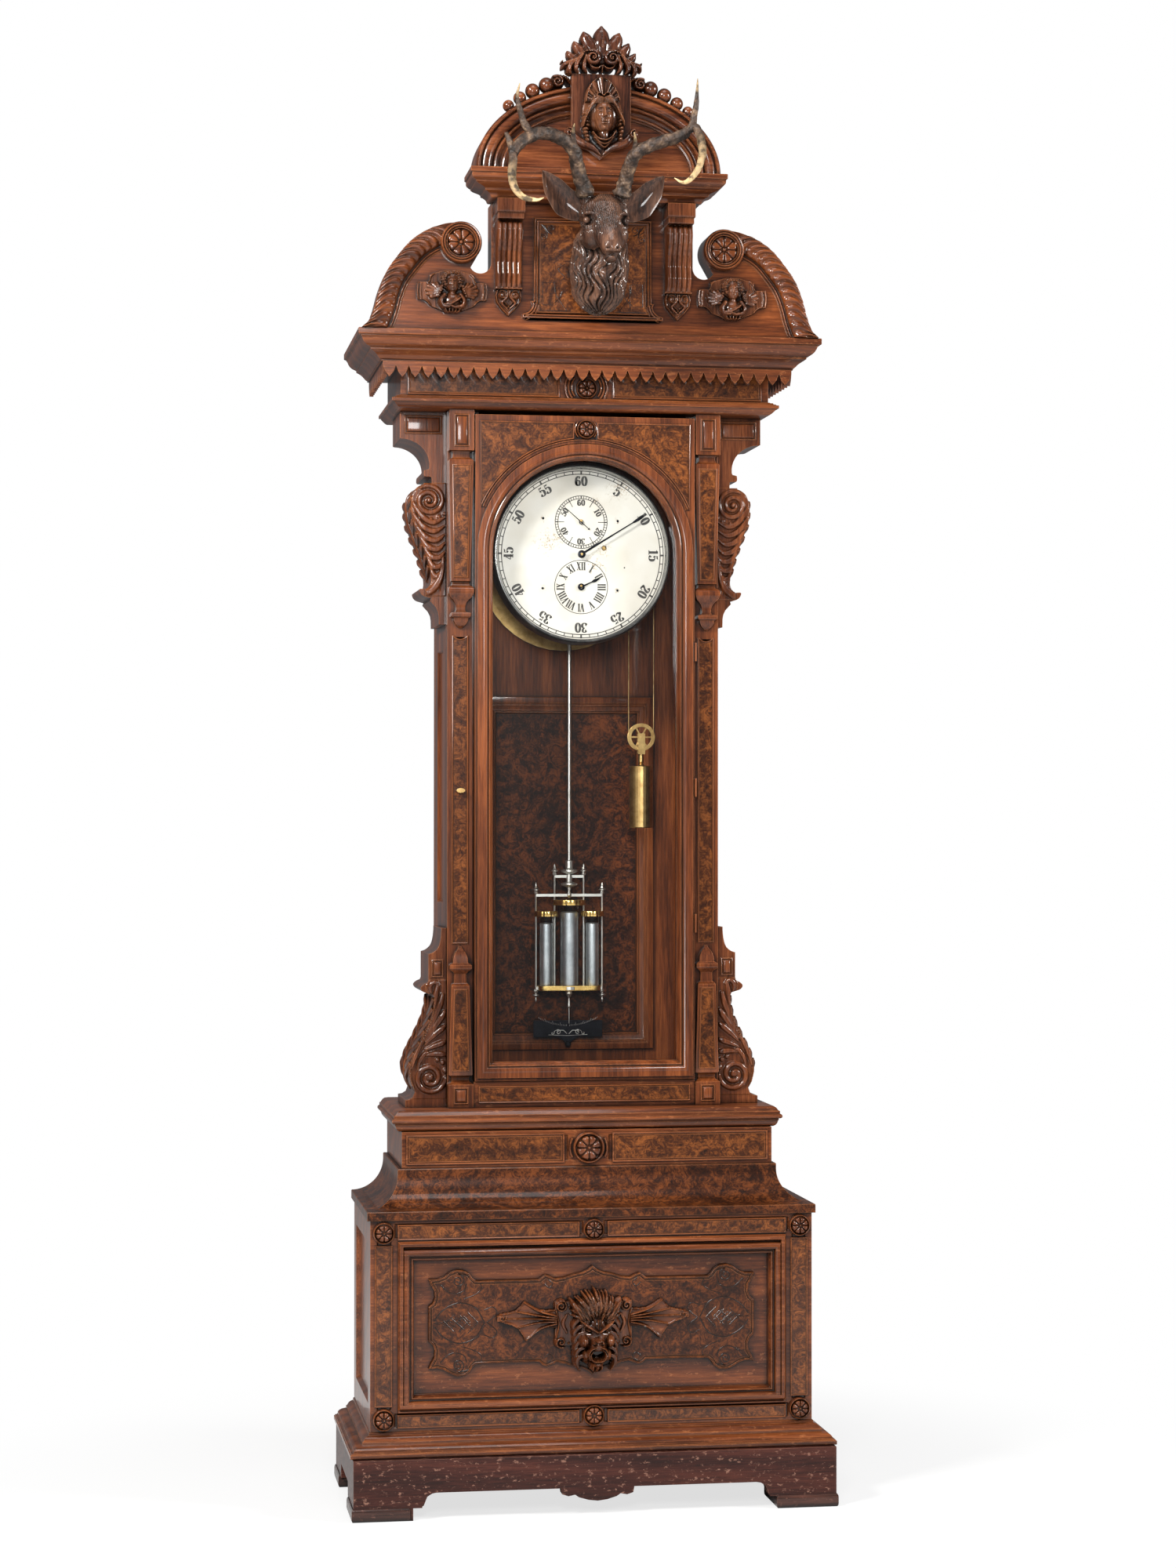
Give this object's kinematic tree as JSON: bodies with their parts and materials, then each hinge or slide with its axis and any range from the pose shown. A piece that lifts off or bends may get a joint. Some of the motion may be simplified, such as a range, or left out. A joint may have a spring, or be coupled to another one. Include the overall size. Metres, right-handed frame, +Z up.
{
  "type": "tall case regulator clock",
  "caption": "Tall carved walnut case clock with glazed trunk door, gear train, three jar pendulum, weight on a pulley line, stag head and antlers.",
  "frame": {"origin": "on the floor under the centre of the overall box", "axes": "+X to the viewer's right, -Y towards the front, +Z up"},
  "size_m": [1.04, 0.7168, 3.132],
  "materials": {
    "walnut": "waxed walnut, worn edges",
    "burl": "burl veneer, waxed",
    "carved": "dark carved walnut, waxed",
    "dark_walnut": "dark scuffed walnut",
    "antler": "pearled antler look with pale tips",
    "brass": "aged polished brass",
    "steel": "worn steel",
    "dark_steel": "blued steel",
    "dial": "silvered plate with light foxing",
    "glass": "clear"
  },
  "bodies": {
    "case": {"plinth": "dark_walnut", "plinth_moulding": "walnut", "lower_case": "walnut", "cartouche": "burl", "beast_mask": "carved", "cove_moulding": "burl", "upper_box": "walnut", "waist_moulding": "walnut", "backboard": "walnut", "side_wall_left": "walnut", "side_wall_right": "walnut", "pilaster_left": "walnut", "pilaster_right": "walnut", "sill_rail": "burl", "upper_console_left": "carved", "upper_console_right": "carved", "lower_console_left": "carved", "lower_console_right": "carved", "frieze": "burl", "apron": "walnut", "cornice": "walnut", "pediment_board": "walnut", "cherub_left": "carved", "cherub_right": "carved", "corbel_left": "carved", "corbel_right": "carved", "upper_cornice": "walnut", "arched_pediment": "walnut", "crest": "carved", "classical_mask": "carved", "stag_head": "carved", "antler_left": "antler", "antler_right": "antler", "movement_frame": "brass", "dial": "dial", "bezel": "steel", "beat_plate": "dark_steel", "weight_line": "brass"},
    "door": {"door_frame": "walnut", "door_glass": "glass"},
    "lock_key": {"door_key": "brass"},
    "escape": {"escape_wheel": "brass", "seconds_hand": "dark_steel"},
    "third": {"third_wheel": "brass"},
    "centre": {"centre_wheel": "brass", "minute_hand": "dark_steel"},
    "great": {"great_wheel": "brass"},
    "hour": {"hour_wheel": "brass", "hour_hand": "dark_steel"},
    "anchor": {"pallets": "steel"},
    "drum": {"line_drum": "brass"},
    "guide": {"guide_pulley": "brass"},
    "driving_weight": {"weight": "brass"},
    "lower_pulley": {"weight_pulley": "brass"},
    "pendulum": {"pendulum_rod": "steel", "jar_frame": "brass", "jar_centre": "glass", "jar_left": "glass", "jar_right": "glass"}
  },
  "joints": [
    {"name": "door_hinge", "type": "hinge", "parent": "case", "child": "door", "pos_m": [0.2417, 0.05919, 1.526], "axis": [0, 0, 1], "range_deg": [0, 110]},
    {"name": "key_turn", "type": "hinge", "parent": "case", "child": "lock_key", "pos_m": [-0.27, 0.09509, 1.525], "axis": [0, 1, 0], "range_deg": [0, 90]},
    {"name": "escape_spin", "type": "hinge", "parent": "case", "child": "escape", "pos_m": [0, 0.18239, 2.116], "axis": [0, 1, 0], "continuous": true},
    {"name": "third_spin", "type": "hinge", "parent": "case", "child": "third", "pos_m": [-0.01992, 0.20639, 2.08434], "axis": [0, 1, 0], "continuous": true},
    {"name": "centre_spin", "type": "hinge", "parent": "case", "child": "centre", "pos_m": [0, 0.21739, 2.042], "axis": [0, 1, 0], "continuous": true},
    {"name": "great_spin", "type": "hinge", "parent": "case", "child": "great", "pos_m": [0.051, 0.16139, 2.05657], "axis": [0, 1, 0], "continuous": true},
    {"name": "hour_spin", "type": "hinge", "parent": "case", "child": "hour", "pos_m": [0, 0.16139, 1.97298], "axis": [0, 1, 0], "continuous": true},
    {"name": "pendulum_swing", "type": "hinge", "parent": "case", "child": "pendulum", "pos_m": [0, 0.29839, 2.15984], "axis": [0, 1, 0], "range_deg": [-2, 2]},
    {"name": "anchor_rock", "type": "hinge", "parent": "case", "child": "anchor", "pos_m": [0, 0.18239, 2.15984], "axis": [0, 1, 0], "range_deg": [-2.5, 2.5]},
    {"name": "weight_drop", "type": "slide", "parent": "case", "child": "driving_weight", "axis": [0, 0, 1], "range_m": [-0.5, 0.15], "deforming": ["weight_line"]},
    {"name": "drum_spin", "type": "hinge", "parent": "case", "child": "drum", "pos_m": [0.051, 0.19039, 2.05657], "axis": [0, 1, 0], "range_deg": [-3600, 1100]},
    {"name": "guide_spin", "type": "hinge", "parent": "case", "child": "guide", "pos_m": [0.104, 0.19839, 2.02657], "axis": [0, 1, 0], "range_deg": [-1300, 4150]},
    {"name": "lower_pulley_spin", "type": "hinge", "parent": "driving_weight", "child": "lower_pulley", "pos_m": [0.146, 0.19839, 1.645], "axis": [0, 1, 0], "range_deg": [-1040, 320]}
  ],
  "couplings": [
    {"joint": "third_spin", "follows": "escape_spin", "ratio": -0.13333},
    {"joint": "centre_spin", "follows": "escape_spin", "ratio": 0.016667},
    {"joint": "great_spin", "follows": "escape_spin", "ratio": -0.0013889},
    {"joint": "hour_spin", "follows": "escape_spin", "ratio": 0.0013889},
    {"joint": "anchor_rock", "follows": "pendulum_swing", "ratio": 1},
    {"joint": "drum_spin", "follows": "weight_drop", "rad_per_m": 125},
    {"joint": "guide_spin", "follows": "weight_drop", "rad_per_m": -142.86},
    {"joint": "lower_pulley_spin", "follows": "weight_drop", "rad_per_m": 35.714}
  ]
}
